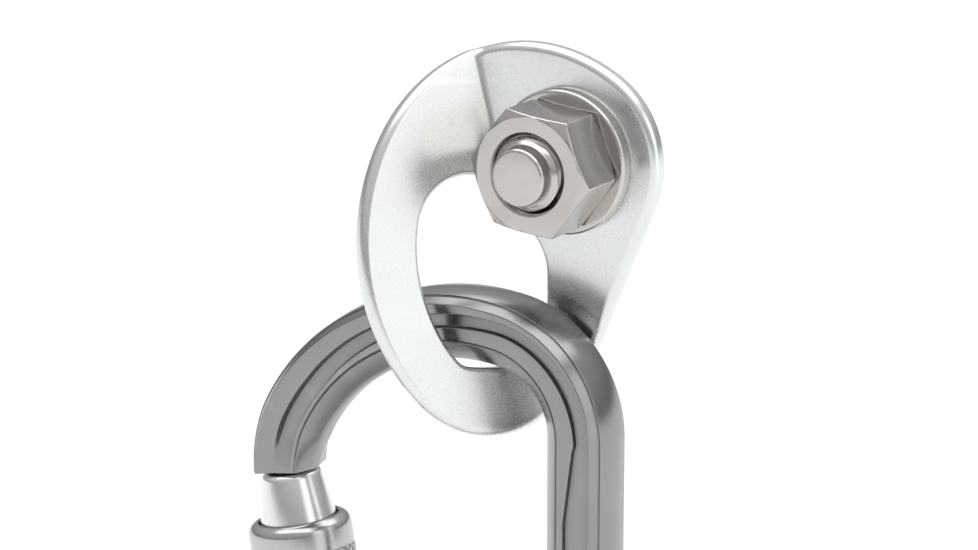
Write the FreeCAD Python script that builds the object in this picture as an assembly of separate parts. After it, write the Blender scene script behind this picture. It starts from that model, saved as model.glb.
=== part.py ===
import FreeCAD, Part
import math
import os
from FreeCAD import Vector

# Bolt hanger on an M12 stud, with a screw-lock carabiner clipped through its eye.
# Millimetres. +Z is up, the wall is the plane Y = 0 and the stud runs into it along +Y.
# The origin is on the stud's axis, where the hanger's back meets the wall.

# ---------------------------------------------------------------- driving dimensions

# hanger plate, bent from one sheet
PLATE_T = 3.0             # sheet thickness
PAD_R = 16.4              # rounded end about the stud
EDGE_LEAN = 22.2          # lean of the straight edge from the vertical, degrees
SHOULDER_R = 29.3         # outline arc from the pad to the back of the ring
SHOULDER_END = 59.3       # direction where the pad's arc meets the shoulder, degrees
BACK_R = 36.6             # outline arc round the back of the ring
BACK_START = 151.2        # direction where the shoulder meets the back, degrees
BACK_END = 228.0          # direction where the back meets the bottom lobe, degrees
LOBE_R = 17.5             # outline arc of the bottom lobe
STUD_HOLE_R = 6.25
EYE_END_R = 9.0           # radius at the eye's upper right end
EYE_TOP_R = 9.3           # radius at the eye's upper left
EYE_BACK_R = 27.0         # long arc at the eye's left
EYE_PAD_R = 14.4          # edge of the eye round the stud pad
EYE_CORNER_R = 2.5        # corner where the eye's top meets the pad
EYE_RIGHT_X = -3.9        # straight right side of the eye
EYE_UPPER_Z = -19.5       # centre height of the eye's upper right end
EYE_LOWER_Z = -27.8       # height that sets how low the eye's long arc reaches
EYE_HEEL_R = 3.0          # corner at the eye's lower left
EYE_BASE_R = 30.0         # flat arc along the eye's bottom, where the carabiner rests
EYE_BASE_TURN = 264.0     # direction where the heel meets the bottom
EYE_LOW_R = 7.0           # radius at the eye's lower right end
BEND_TILT = 14.0          # lean of the bend line from the vertical, degrees
BEND_D = 12.3             # distance of the bend line from the stud's axis
BEND_ANGLE = 60.0         # turn of the ring out of the wall plane, degrees
BEND_R = 2.0              # radius inside the bend
BEND_STEPS = 6            # sections of the bend, less one

# M12 stud, washer and nut
THREAD_R = 5.9            # crest of the thread
STUB_R = 4.65             # plain stub on the stud's outer end
STUB_Y = -18.5
THREAD_END_Y = -16.4
RELIEF_R = 5.4            # groove at the wall plane, between the two threads
RELIEF_END_Y = 1.6
STUD_END_Y = 15.0
STUD_END_R = 4.9          # flat end inside the end chamfer
WASHER_R = 11.8
WASHER_IN_R = 6.5
WASHER_T = 2.5
WASHER_EDGE = 0.6
NUT_AF = 18.9             # across flats
NUT_H = 10.0
NUT_BORE_R = 5.97
NUT_TURN = 173.0          # direction of one corner, degrees
NUT_SINK_R = 6.7

# carabiner: an I-section bar bent to a modified D, in a plane parallel to the wall
BAR_Y = -9.9              # middle plane of the bar
BAR_W = 6.0               # half width of the bar in its own plane
BAR_H = 5.5               # half width across the plane, at the outer flange
BAR_IN_H = 5.0            # and at the inner flange
CROWN_W = 5.2             # edge of the outer face, which is crowned
CROWN_H = 1.4             # depth of the chamfer beside the outer face
CHAMFER_W = 1.0           # and its width
WEB_H = 4.2               # half thickness of the web
FLANGE_OUT = 3.0          # where the outer flange starts, from the bar's centre line
FLANGE_IN = -1.0          # where the inner flange starts
SPINE_X = 7.36            # centre line of the straight spine
BOW_Z = -43.7             # height where the spine meets the top bow
TOP_ARCS = ((16.08, 0.0, 81.1), (39.86, 81.1, 148.85), (25.23, 148.85, 180.0))
BOTTOM_Z = -109.69        # height where the spine meets the bottom bow
GATE_LEAN = 10.0          # lean of the gate from the vertical, degrees
BOTTOM_ARCS = ((17.0, 0.0, -75.0), (36.0, -75.0, -125.0), (13.0, -125.0, -180.0 + GATE_LEAN))
SOLID_NOSE = 24.0         # unrecessed, tapering arc at the nose, degrees
NOSE_IN = 4.8             # the bar's inner half width at the end of the nose
NOSE_H = 4.6              # and its half width across the plane
NOSE_RISE = 1.4           # the nose stops this far above the end of its arc
SOLID_HEEL = 22.0         # unrecessed arc at the hinge, degrees

# gate: heights are distances from the rivet along the gate
BARREL_R = 5.8
HEAD_FOOT = 46.0          # foot of the head
HEAD_FOOT_R = 6.6
HEAD_TOP_R = 5.0
HEAD_GAP = 0.35           # gap between the head and the nose
BULB_DEPTH = 5.8          # reach of the nose's tongue into the head
BULB_H = 2.5              # height of the tongue's wide end
BULB_W = 2.9              # half thickness of the wide end
STEM_W = 1.6              # half thickness of the tongue's neck
TONGUE_IN = 1.8           # reach of the tongue past the gate's axis
TONGUE_OUT = -4.6         # and its outer side
SLOT_GAP = 0.32
FORK_GAP = 2.75           # half width of the gate's fork
TANG_W = 2.45             # half thickness of the frame's tang
FORK_TOP = 6.5
CAM_OFF = 1.2             # offset of the tang's round end from the rivet
CAM_R = 4.6
RIVET_R = 2.0
RIVET_HALF = 5.6
HEEL_GAP = 0.45           # gap between the gate's round end and the frame
BORE_R = 2.2
BORE_TOP = 30.0
PUSHER_R = 2.0
PUSHER_L = 6.0
PUSHER_GAP = 0.1
SPRING_R = 1.6            # mean radius of the coil
WIRE_R = 0.25
SPRING_TURNS = 12
STOP_T = 17.4
STOP_H = 1.2
STOP_GROOVE_R = 5.3
STOP_R = 6.9
SLEEVE_FOOT = 20.0
SLEEVE_TOP = 46.3
SLEEVE_R = 8.9
SLEEVE_BORE_R = 6.1
SLEEVE_MOUTH_R = 6.95     # wider bore that passes over the head
SLEEVE_MOUTH_L = 8.0
GUIDE_T = 21.0
GUIDE_H = 2.6
GUIDE_IN_R = 5.95
GUIDE_OUT_R = 7.3
GUIDE_GAP = 0.12

AXIS_Y = Vector(0, 1, 0)
UP = Vector(0, 0, 1)
REACH = 90.0              # longer than anything that is cut


# ---------------------------------------------------------------- helpers

def polar(centre, radius, degrees):
    """Point at a radius and direction from a centre, as (x, z)."""
    a = math.radians(degrees)
    return (centre[0] + radius * math.cos(a), centre[1] + radius * math.sin(a))


def front(point, y=0.0):
    """A vector from an (x, z) pair."""
    return Vector(point[0], y, point[1])


def arc_outline(arcs):
    """Face in the plane Y = 0 from (centre, radius, start, end) arcs, with lines between them."""
    edges = []
    ends = [(front(polar(c, r, a)), front(polar(c, r, b))) for c, r, a, b in arcs]
    for (c, r, a, b), (start, end), (after, _) in zip(arcs, ends, ends[1:] + ends[:1]):
        middle = front(polar(c, r, (a + b) / 2))
        edges.append(Part.Arc(start, middle, end).toShape())
        if end.distanceToPoint(after) > 1e-6:
            edges.append(Part.makeLine(end, after))
    return Part.Face(Part.Wire(edges))


def rounded_face(corners):
    """Face from a flat polygon of (point, corner radius) pairs."""
    edges = []
    joins = []
    count = len(corners)
    for i, (point, radius) in enumerate(corners):
        back = (corners[i - 1][0] - point).normalize()
        ahead = (corners[(i + 1) % count][0] - point).normalize()
        half = back.getAngle(ahead) / 2
        if radius > 0:
            cut = radius / math.tan(half)
            inward = (back + ahead).normalize()
            middle = point + inward * (radius / math.sin(half) - radius)
            joins.append((point + back * cut, middle, point + ahead * cut))
        else:
            joins.append((point, None, point))
    for i, (start, middle, end) in enumerate(joins):
        if middle is not None:
            edges.append(Part.Arc(start, middle, end).toShape())
        edges.append(Part.makeLine(end, joins[(i + 1) % count][0]))
    return Part.Face(Part.Wire(edges))


def turned(profile):
    """Solid of revolution about the Y axis from (radius, y) corners."""
    points = [Vector(r, y, 0) for r, y in profile]
    face = Part.Face(Part.makePolygon(points + points[:1]))
    return face.revolve(Vector(0, 0, 0), AXIS_Y, 360)


def tube(outer, inner, foot, height):
    """Upright ring about the Z axis."""
    body = Part.makeCylinder(outer, height, Vector(0, 0, foot))
    return body.cut(Part.makeCylinder(inner, height + 2, Vector(0, 0, foot - 1)))


def across(radius, half, centre=(0.0, 0.0)):
    """Cylinder along Y, centred on the plane Y = 0."""
    return Part.makeCylinder(radius, 2 * half, Vector(centre[0], -half, centre[1]), AXIS_Y)


def block(x0, x1, y0, y1, z0, z1):
    return Part.makeBox(x1 - x0, y1 - y0, z1 - z0, Vector(x0, y0, z0))


# ---------------------------------------------------------------- hanger

def bend_axes():
    """Directions across and down the bend line, in the wall plane."""
    tilt = math.radians(BEND_TILT)
    return Vector(-math.cos(tilt), 0, -math.sin(tilt)), Vector(math.sin(tilt), 0, -math.cos(tilt))


def hanger_outline():
    """Flat blank of the plate, and the circles that cross the bend line."""
    shoulder = polar((0, 0), PAD_R - SHOULDER_R, SHOULDER_END)
    back = polar(shoulder, SHOULDER_R - BACK_R, BACK_START)
    lobe = polar(back, BACK_R - LOBE_R, BACK_END)
    blank = arc_outline([
        ((0, 0), PAD_R, -EDGE_LEAN, SHOULDER_END),
        (shoulder, SHOULDER_R, SHOULDER_END, BACK_START),
        (back, BACK_R, BACK_START, BACK_END),
        (lobe, LOBE_R, BACK_END, 360 - EDGE_LEAN),
    ])
    lower = (EYE_RIGHT_X - EYE_END_R, EYE_LOWER_Z)
    upper = (EYE_RIGHT_X - EYE_END_R, EYE_UPPER_Z)
    upper_end = math.degrees(math.atan2(-upper[1], -upper[0]))
    # the long arc at the left is tangent to the heel and to the upper left arc
    turn_low = 223.6
    turn_top = 173.2
    long_arc = polar(lower, EYE_END_R - EYE_BACK_R, turn_low)
    top = polar(long_arc, EYE_BACK_R - EYE_TOP_R, turn_top)
    # the corner touches the pad's edge from outside and the upper left arc from inside
    to_top = math.hypot(*top)
    to_corner = EYE_PAD_R + EYE_CORNER_R
    spread = to_corner ** 2 + to_top ** 2 - (EYE_TOP_R - EYE_CORNER_R) ** 2
    swing = math.degrees(math.acos(spread / (2 * to_corner * to_top)))
    corner_dir = math.degrees(math.atan2(top[1], top[0])) % 360 - swing
    corner = polar((0, 0), to_corner, corner_dir)
    corner_end = math.degrees(math.atan2(corner[1] - top[1], corner[0] - top[0]))
    heel = polar(long_arc, EYE_BACK_R - EYE_HEEL_R, turn_low)
    base = polar(heel, EYE_HEEL_R - EYE_BASE_R, EYE_BASE_TURN)
    low_x = EYE_RIGHT_X - EYE_LOW_R
    low_end = (low_x, base[1] - math.sqrt((EYE_BASE_R - EYE_LOW_R) ** 2 - (low_x - base[0]) ** 2))
    turn_right = math.degrees(math.atan2(low_end[1] - base[1], low_end[0] - base[0])) % 360
    eye = arc_outline([
        (upper, EYE_END_R, 0, upper_end),
        ((0, 0), EYE_PAD_R, 180 + upper_end, corner_dir),
        (corner, EYE_CORNER_R, corner_dir - 180, corner_end),
        (top, EYE_TOP_R, corner_end, turn_top),
        (long_arc, EYE_BACK_R, turn_top, turn_low),
        (heel, EYE_HEEL_R, turn_low, EYE_BASE_TURN),
        (base, EYE_BASE_R, EYE_BASE_TURN, turn_right),
        (low_end, EYE_LOW_R, turn_right, 360),
    ])
    crossings = (
        ((shoulder, SHOULDER_R, -1), ((0, 0), EYE_PAD_R, 1)),
        ((low_end, EYE_LOW_R, 1), (lobe, LOBE_R, 1)),
    )
    return blank, eye, crossings


def bend_strip(sides, across_dir, down_dir, tangent):
    """Solid of one strip of the plate inside the bend, between two circles of the outline."""
    centre = across_dir * (BEND_D - tangent) + Vector(0, -PLATE_T - BEND_R, 0)
    sections = []
    for step in range(BEND_STEPS + 1):
        part = step / BEND_STEPS
        turn = math.radians(BEND_ANGLE * part)
        out = AXIS_Y * math.cos(turn) + across_dir * math.sin(turn)
        from_stud = BEND_D + tangent * (2 * part - 1)
        along = []
        for circle, radius, sign in sides:
            middle = front(circle)
            offset = from_stud - middle.dot(across_dir)
            along.append(middle.dot(down_dir) + sign * math.sqrt(radius ** 2 - offset ** 2))
        inner = centre + out * BEND_R
        outer = centre + out * (BEND_R + PLATE_T)
        corners = [inner + down_dir * along[0], outer + down_dir * along[0],
                   outer + down_dir * along[1], inner + down_dir * along[1]]
        sections.append(Part.makePolygon(corners + corners[:1]))
    return Part.makeLoft(sections, True, False)


def make_hanger():
    blank, eye, crossings = hanger_outline()
    plate = blank.extrude(Vector(0, -PLATE_T, 0)).cut(eye.extrude(Vector(0, -PLATE_T, 0)))
    plate = plate.cut(across(STUD_HOLE_R, 2 * PLATE_T))
    across_dir, down_dir = bend_axes()
    tangent = BEND_R * math.tan(math.radians(BEND_ANGLE / 2))
    # a tall box covers one side of the bend line
    cover = Part.makeBox(REACH, REACH, 2 * REACH, Vector(0, -REACH / 2, -REACH))
    cover.rotate(Vector(0, 0, 0), AXIS_Y, 180 - BEND_TILT)
    past_bend = cover.copy()
    past_bend.translate(across_dir * (BEND_D - tangent))
    beyond = cover.copy()
    beyond.translate(across_dir * (BEND_D + tangent))
    flat = plate.cut(past_bend)
    ring = plate.common(beyond)
    ring.rotate(across_dir * BEND_D + Vector(0, -PLATE_T, 0), down_dir, -BEND_ANGLE)
    solid = flat.fuse([bend_strip(sides, across_dir, down_dir, tangent) for sides in crossings])
    return solid.fuse(ring).removeSplitter()


# ---------------------------------------------------------------- stud, washer and nut

def make_stud():
    lead = THREAD_R - STUD_END_R
    return turned([
        (0, STUB_Y), (STUB_R - 0.4, STUB_Y), (STUB_R, STUB_Y + 0.4), (STUB_R, THREAD_END_Y),
        (THREAD_R - 0.8, THREAD_END_Y), (THREAD_R, THREAD_END_Y + 0.8), (THREAD_R, 0),
        (RELIEF_R, 0), (RELIEF_R, RELIEF_END_Y), (THREAD_R, RELIEF_END_Y),
        (THREAD_R, STUD_END_Y - lead), (STUD_END_R, STUD_END_Y), (0, STUD_END_Y),
    ])


def make_washer():
    face = -PLATE_T - WASHER_T
    return turned([
        (WASHER_IN_R, -PLATE_T), (WASHER_R - WASHER_EDGE, -PLATE_T),
        (WASHER_R, -PLATE_T - WASHER_EDGE), (WASHER_R, face + 0.3),
        (WASHER_R - 0.3, face), (WASHER_IN_R, face),
    ])


def make_nut():
    foot = -PLATE_T - WASHER_T
    top = foot - NUT_H
    corner_r = NUT_AF / math.sqrt(3)
    corners = [front(polar((0, 0), corner_r, NUT_TURN + 60 * k), foot) for k in range(6)]
    body = Part.Face(Part.makePolygon(corners + corners[:1])).extrude(Vector(0, -NUT_H, 0))
    # both ends are chamfered at 30 degrees, down to just inside the flats
    flat_r = NUT_AF / 2 - 0.15
    wide = 2.0
    rise = wide * math.tan(math.radians(30))
    chamfer = turned([
        (0, foot), (flat_r, foot), (flat_r + wide, foot - rise),
        (flat_r + wide, top + rise), (flat_r, top), (0, top),
    ])
    sink = NUT_SINK_R - NUT_BORE_R
    bore = turned([
        (0, foot + 1), (NUT_SINK_R, foot + 1), (NUT_SINK_R, foot), (NUT_BORE_R, foot - sink),
        (NUT_BORE_R, top + sink), (NUT_SINK_R, top), (NUT_SINK_R, top - 1), (0, top - 1),
    ])
    return body.common(chamfer).cut(bore)


# ---------------------------------------------------------------- carabiner frame

def arc_chain(start_z, arcs):
    """Tangent arcs that leave the spine, as (centre, radius, start, end)."""
    centre = (SPINE_X - arcs[0][0], start_z)
    chain = []
    for i, (radius, start, end) in enumerate(arcs):
        if i:
            centre = polar(centre, arcs[i - 1][0] - radius, start)
        chain.append((centre, radius, start, end))
    return chain


TOP_CHAIN = arc_chain(BOW_Z, TOP_ARCS)
BOTTOM_CHAIN = arc_chain(BOTTOM_Z, BOTTOM_ARCS)
NOSE = polar(*TOP_CHAIN[-1][:2], TOP_CHAIN[-1][3])
RIVET = polar(*BOTTOM_CHAIN[-1][:2], BOTTOM_CHAIN[-1][3])
NOSE_R = math.dist(NOSE, RIVET) + NOSE_RISE     # the nose is cut round, about the rivet
HEAD_TOP = NOSE_R - HEAD_GAP


def bar_section(centre, radius, degrees, solid, slim=0.0):
    """Section of the bar, standing across its centre line; slim 1 is the end of the nose."""
    inner_w = BAR_W + (NOSE_IN - BAR_W) * slim
    outer_h = BAR_H + (NOSE_H - BAR_H) * slim
    inner_h = BAR_IN_H + (NOSE_H - 0.2 - BAR_IN_H) * slim
    out = front(polar((0, 0), 1.0, degrees))
    middle = front(polar(centre, radius, degrees), BAR_Y)

    def at(r, h, corner):
        return (middle + out * r + AXIS_Y * h, corner)

    foot = CROWN_W - CHAMFER_W
    outer = [at(foot, -outer_h, 0.5), at(CROWN_W, CROWN_H - outer_h, 0.5), at(BAR_W, 0, 12.0),
             at(CROWN_W, outer_h - CROWN_H, 0.5), at(foot, outer_h, 0.5)]
    inner = [at(-inner_w, inner_h, 3.9), at(-inner_w, -inner_h, 3.9)]
    if solid:
        return rounded_face(outer + inner)
    back = [at(FLANGE_OUT, BAR_H, 0.4), at(FLANGE_OUT - 0.4, WEB_H, 0.3),
            at(FLANGE_IN + 0.3, WEB_H, 0.2), at(FLANGE_IN, BAR_IN_H, 0.2)]
    face = [at(FLANGE_IN, -BAR_IN_H, 0.2), at(FLANGE_IN + 0.3, -WEB_H, 0.2),
            at(FLANGE_OUT - 0.4, -WEB_H, 0.3), at(FLANGE_OUT, -BAR_H, 0.4)]
    return rounded_face(outer + back + inner + face)


def bent_bar(centre, radius, start, end, solid=False):
    face = bar_section(centre, radius, start, solid)
    return face.revolve(front(centre, BAR_Y), Vector(0, -1, 0), end - start)


def ring_slice(inner, outer, half, x0, x1):
    """Arc-shaped slab about the rivet, above it, in the gate's upright frame."""
    ring = across(outer, half).cut(across(inner, half + 1))
    return ring.common(block(x0, x1, -half, half, 0, REACH))


def to_gate(shape):
    """Moves a shape from the gate's upright frame to its place in the carabiner."""
    shape.rotate(Vector(0, 0, 0), AXIS_Y, -GATE_LEAN)
    shape.translate(front(RIVET, BAR_Y))
    return shape


def make_frame():
    bars = [bent_bar(*arc) for arc in TOP_CHAIN[:2]]
    bars += [bent_bar(*arc) for arc in BOTTOM_CHAIN[:2]]
    centre, radius, start, end = TOP_CHAIN[2]
    bars.append(bent_bar(centre, radius, start, end - SOLID_NOSE))
    steps = range(7)
    taper = [bar_section(centre, radius, end - SOLID_NOSE * (1 - k / 6), True, k / 6) for k in steps]
    bars.append(Part.makeLoft([face.OuterWire for face in taper], True, False))
    centre, radius, start, end = BOTTOM_CHAIN[2]
    bars.append(bent_bar(centre, radius, start, end + SOLID_HEEL))
    bars.append(bent_bar(centre, radius, end + SOLID_HEEL, end, True))
    spine = bar_section(*TOP_CHAIN[0][:2], 0.0, False)
    bars.append(spine.extrude(Vector(0, 0, BOTTOM_Z - BOW_Z)))
    # the nose goes on straight down until the round cut about the rivet ends it
    bars.append(bar_section(*TOP_CHAIN[2][:2], 180.0, True, 1.0).extrude(UP * -4))
    body = bars[0].fuse(bars[1:])
    sweep = to_gate(ring_slice(10.0, NOSE_R, 2 * BAR_H, -20, 20))
    body = body.cut(sweep)
    heel_r = BARREL_R + HEEL_GAP
    body = body.cut(to_gate(across(heel_r, 2 * BAR_H)))
    # tongue of the nose: a thin neck and a wide end, both round about the rivet
    tongue_foot = HEAD_TOP - BULB_DEPTH
    stem = ring_slice(tongue_foot + BULB_H - 0.2, NOSE_R + 1.0, STEM_W, TONGUE_OUT, TONGUE_IN)
    bulb = ring_slice(tongue_foot, tongue_foot + BULB_H, BULB_W, TONGUE_OUT, TONGUE_IN)
    # tang that carries the rivet; its round end pushes the spring's pusher
    tang = across(CAM_R, TANG_W, (CAM_OFF, 0))
    tang = tang.fuse(block(-CAM_R + 0.8, CAM_R, -TANG_W, TANG_W, -heel_r - 1.0, 0))
    tang = tang.cut(across(RIVET_R + 0.05, 2 * TANG_W))
    return body.fuse([to_gate(stem.fuse(bulb)), to_gate(tang)]).removeSplitter()


# ---------------------------------------------------------------- gate

def make_barrel():
    barrel = Part.makeCylinder(BARREL_R, BARREL_R + HEAD_FOOT, Vector(0, 0, -BARREL_R))
    round_end = across(BARREL_R, 2 * BARREL_R)
    body = barrel.common(round_end.fuse(block(-8, 8, -8, 8, 0, REACH)))
    flare = Part.makeCone(BARREL_R, HEAD_FOOT_R, 0.8, Vector(0, 0, HEAD_FOOT - 0.8))
    head = Part.makeCone(HEAD_FOOT_R, HEAD_TOP_R, HEAD_TOP - HEAD_FOOT, Vector(0, 0, HEAD_FOOT))
    body = body.fuse([flare, head]).common(across(HEAD_TOP, 2 * BARREL_R))
    # slot for the nose's tongue, open at the top and at the outer side
    foot = HEAD_TOP - BULB_DEPTH
    wide = ring_slice(foot - SLOT_GAP, foot + BULB_H + SLOT_GAP, BULB_W + SLOT_GAP,
                      -2 * BARREL_R, TONGUE_IN + SLOT_GAP)
    thin = ring_slice(foot, HEAD_TOP + 2, STEM_W + SLOT_GAP, -2 * BARREL_R, TONGUE_IN + SLOT_GAP)
    fork = block(-8, 8, -FORK_GAP, FORK_GAP, -8, FORK_TOP)
    bore = Part.makeCylinder(BORE_R, BORE_TOP, Vector(0, 0, 0))
    groove = tube(2 * BARREL_R, STOP_GROOVE_R, STOP_T - 0.05, STOP_H + 0.1)
    body = body.cut([wide, thin, fork, bore, groove])
    return to_gate(body.cut(across(RIVET_R, 2 * BARREL_R)))


def make_rivet():
    pin = across(RIVET_R, RIVET_HALF)
    return to_gate(pin.makeChamfer(0.3, pin.Edges))


def pusher_foot():
    """Height of the pusher's round tip, where it rests on the tang's cam."""
    reach = CAM_R + PUSHER_R + PUSHER_GAP
    return math.sqrt(reach ** 2 - CAM_OFF ** 2) - PUSHER_R


def make_pusher():
    foot = pusher_foot()
    tip = Part.makeSphere(PUSHER_R, Vector(0, 0, foot + PUSHER_R))
    rod = Part.makeCylinder(PUSHER_R, PUSHER_L - PUSHER_R, Vector(0, 0, foot + PUSHER_R))
    return to_gate(rod.fuse(tip).removeSplitter())


def make_spring():
    foot = pusher_foot() + PUSHER_L + WIRE_R + 0.05
    height = BORE_TOP - WIRE_R - 0.1 - foot
    coil = Part.makeHelix(height / SPRING_TURNS, height, SPRING_R)
    coil.translate(Vector(0, 0, foot))
    section = Part.Wire(Part.makeCircle(WIRE_R, Vector(SPRING_R, 0, foot), AXIS_Y))
    return to_gate(Part.Wire(coil.Edges).makePipeShell([section], True, True))


def make_stop_ring():
    ring = tube(STOP_R, STOP_GROOVE_R, STOP_T, STOP_H)
    opening = block(0, 2 * STOP_R, -1.6, 1.6, STOP_T - 1, STOP_T + STOP_H + 1)
    return to_gate(ring.cut(opening))


def make_guide_ring():
    return to_gate(tube(GUIDE_OUT_R, GUIDE_IN_R, GUIDE_T, GUIDE_H))


def make_sleeve():
    body = Part.makeCylinder(SLEEVE_R, SLEEVE_TOP - SLEEVE_FOOT, Vector(0, 0, SLEEVE_FOOT))
    rims = [e for e in body.Edges if e.Curve.TypeId == "Part::GeomCircle"]
    foot_rim, top_rim = sorted(rims, key=lambda e: e.CenterOfMass.z)
    body = body.makeFillet(1.2, [foot_rim])
    top_rim = max((e for e in body.Edges if e.Curve.TypeId == "Part::GeomCircle"),
                  key=lambda e: e.CenterOfMass.z)
    body = body.makeFillet(1.8, [top_rim])
    bore = Part.makeCylinder(SLEEVE_BORE_R, REACH, Vector(0, 0, 0))
    mouth = Part.makeCylinder(SLEEVE_MOUTH_R, REACH, Vector(0, 0, SLEEVE_TOP - SLEEVE_MOUTH_L))
    groove = Part.makeCylinder(GUIDE_OUT_R + GUIDE_GAP, GUIDE_H + 2 * GUIDE_GAP,
                               Vector(0, 0, GUIDE_T - GUIDE_GAP))
    return to_gate(body.cut([bore, mouth, groove]))


# ---------------------------------------------------------------- files

PARTS = {
    "anchor_stud": make_stud,
    "hanger_plate": make_hanger,
    "flat_washer": make_washer,
    "hex_nut": make_nut,
    "carabiner_frame": make_frame,
    "gate_barrel": make_barrel,
    "gate_rivet": make_rivet,
    "gate_spring": make_spring,
    "spring_pusher": make_pusher,
    "sleeve_stop_ring": make_stop_ring,
    "sleeve_guide_ring": make_guide_ring,
    "locking_sleeve": make_sleeve,
}

os.makedirs("parts", exist_ok=True)
for name, make in PARTS.items():
    shape = make()
    print(f"{name:20s} solids {len(shape.Solids)} valid {shape.isValid()} volume {shape.Volume:9.1f}")
    shape.exportStep(f"parts/{name}.step")
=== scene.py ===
import math

import bmesh
import bpy
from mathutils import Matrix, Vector
from mathutils.geometry import tessellate_polygon


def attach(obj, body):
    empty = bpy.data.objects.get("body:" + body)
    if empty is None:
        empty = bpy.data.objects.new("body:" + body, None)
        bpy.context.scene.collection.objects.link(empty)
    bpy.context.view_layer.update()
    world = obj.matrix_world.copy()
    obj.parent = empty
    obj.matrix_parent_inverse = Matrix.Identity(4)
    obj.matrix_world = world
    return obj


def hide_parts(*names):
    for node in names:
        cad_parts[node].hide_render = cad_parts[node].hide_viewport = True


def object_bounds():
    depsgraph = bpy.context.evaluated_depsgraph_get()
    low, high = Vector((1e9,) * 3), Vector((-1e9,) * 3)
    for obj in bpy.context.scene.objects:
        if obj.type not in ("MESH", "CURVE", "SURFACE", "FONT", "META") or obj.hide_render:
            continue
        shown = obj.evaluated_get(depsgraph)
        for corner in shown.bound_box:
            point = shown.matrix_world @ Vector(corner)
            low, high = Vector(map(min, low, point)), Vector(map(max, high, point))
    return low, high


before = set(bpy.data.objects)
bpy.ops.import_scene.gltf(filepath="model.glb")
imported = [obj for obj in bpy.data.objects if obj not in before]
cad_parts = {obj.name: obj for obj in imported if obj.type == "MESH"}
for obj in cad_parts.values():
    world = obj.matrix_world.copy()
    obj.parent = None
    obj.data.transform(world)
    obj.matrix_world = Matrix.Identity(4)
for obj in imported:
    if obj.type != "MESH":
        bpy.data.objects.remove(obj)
cad_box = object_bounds()

# Bolt hanger, stud, washer, nut and screw-lock carabiner. Shapes are worked out in
# millimetres in the CAD's own frame and turned into metres when a mesh is made.
MM = 0.001

# ---------------------------------------------------------------- shared sizes (as in the CAD)

PLATE_T = 3.0
PAD_R, SHOULDER_R, BACK_R, LOBE_R = 16.4, 29.3, 36.6, 17.5
EDGE_LEAN, SHOULDER_END, BACK_START, BACK_END = 22.2, 59.3, 151.2, 228.0
STUD_HOLE_R = 6.25
EYE_END_R, EYE_TOP_R, EYE_BACK_R, EYE_PAD_R, EYE_CORNER_R = 9.0, 9.3, 27.0, 14.4, 2.5
EYE_RIGHT_X, EYE_UPPER_Z, EYE_LOWER_Z = -3.9, -19.5, -27.8
EYE_LOW_TURN, EYE_TOP_TURN = 223.6, 173.2
EYE_HEEL_R, EYE_BASE_R, EYE_BASE_TURN, EYE_LOW_R = 3.0, 30.0, 264.0, 7.0
BEND_TILT, BEND_D, BEND_ANGLE, BEND_R = 14.0, 12.3, 60.0, 2.0

THREAD_R, THREAD_PITCH, THREAD_DEPTH = 5.9, 1.75, 0.95
STUB_R, STUB_Y, THREAD_END_Y = 4.65, -18.5, -16.4
RELIEF_R, RELIEF_END_Y, STUD_END_Y = 5.4, 1.6, 15.0
WASHER_R, WASHER_IN_R, WASHER_T = 11.8, 6.5, 2.5
NUT_AF, NUT_H, NUT_BORE_R, NUT_SINK_R, NUT_TURN = 18.9, 10.0, 5.97, 6.7, 173.0

BAR_Y, BAR_W, BAR_H, BAR_IN_H, WEB_H = -9.9, 6.0, 5.5, 5.0, 4.2
CROWN_W, CROWN_H, CHAMFER_W = 5.2, 1.4, 1.0
SPINE_X, BOW_Z, BOTTOM_Z, GATE_LEAN = 7.36, -43.7, -109.69, 10.0
TOP_ARCS = ((16.08, 0.0, 81.1), (39.86, 81.1, 148.85), (25.23, 148.85, 180.0))
BOTTOM_ARCS = ((17.0, 0.0, -75.0), (36.0, -75.0, -125.0), (13.0, -125.0, -170.0))
SOLID_NOSE, NOSE_IN, NOSE_H, NOSE_RISE, HEEL_R = 24.0, 4.8, 4.6, 1.4, 6.25

BARREL_R, HEAD_FOOT, HEAD_FOOT_R, HEAD_TOP_R, HEAD_GAP = 5.8, 46.0, 6.6, 5.0, 0.35
BULB_DEPTH, BULB_H, BULB_W, STEM_W, SLOT_GAP = 5.8, 2.5, 2.9, 1.6, 0.32
TONGUE_IN, TONGUE_OUT = 1.8, -4.6
FORK_GAP, TANG_W, FORK_TOP, CAM_OFF, CAM_R = 2.75, 2.45, 6.5, 1.2, 4.6
STOP_T, STOP_H, STOP_GROOVE_R = 17.4, 1.2, 5.3
SLEEVE_FOOT, SLEEVE_TOP, SLEEVE_R, SLEEVE_BORE_R = 20.0, 46.3, 8.9, 6.1
SLEEVE_MOUTH_R, SLEEVE_MOUTH_L = 6.95, 8.0


# ---------------------------------------------------------------- geometry helpers

def polar(centre, radius, degrees):
    a = math.radians(degrees)
    return (centre[0] + radius * math.cos(a), centre[1] + radius * math.sin(a))


def arc_chain(start_z, arcs):
    """Tangent arcs that leave the spine, as (centre, radius, start, end)."""
    centre = (SPINE_X - arcs[0][0], start_z)
    chain = []
    for i, (radius, start, end) in enumerate(arcs):
        if i:
            centre = polar(centre, arcs[i - 1][0] - radius, start)
        chain.append((centre, radius, start, end))
    return chain


TOP_CHAIN = arc_chain(BOW_Z, TOP_ARCS)
BOTTOM_CHAIN = arc_chain(BOTTOM_Z, BOTTOM_ARCS)
NOSE = polar(*TOP_CHAIN[-1][:2], TOP_CHAIN[-1][3])
RIVET = polar(*BOTTOM_CHAIN[-1][:2], BOTTOM_CHAIN[-1][3])
NOSE_R = math.dist(NOSE, RIVET) + NOSE_RISE
HEAD_TOP = NOSE_R - HEAD_GAP


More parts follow.
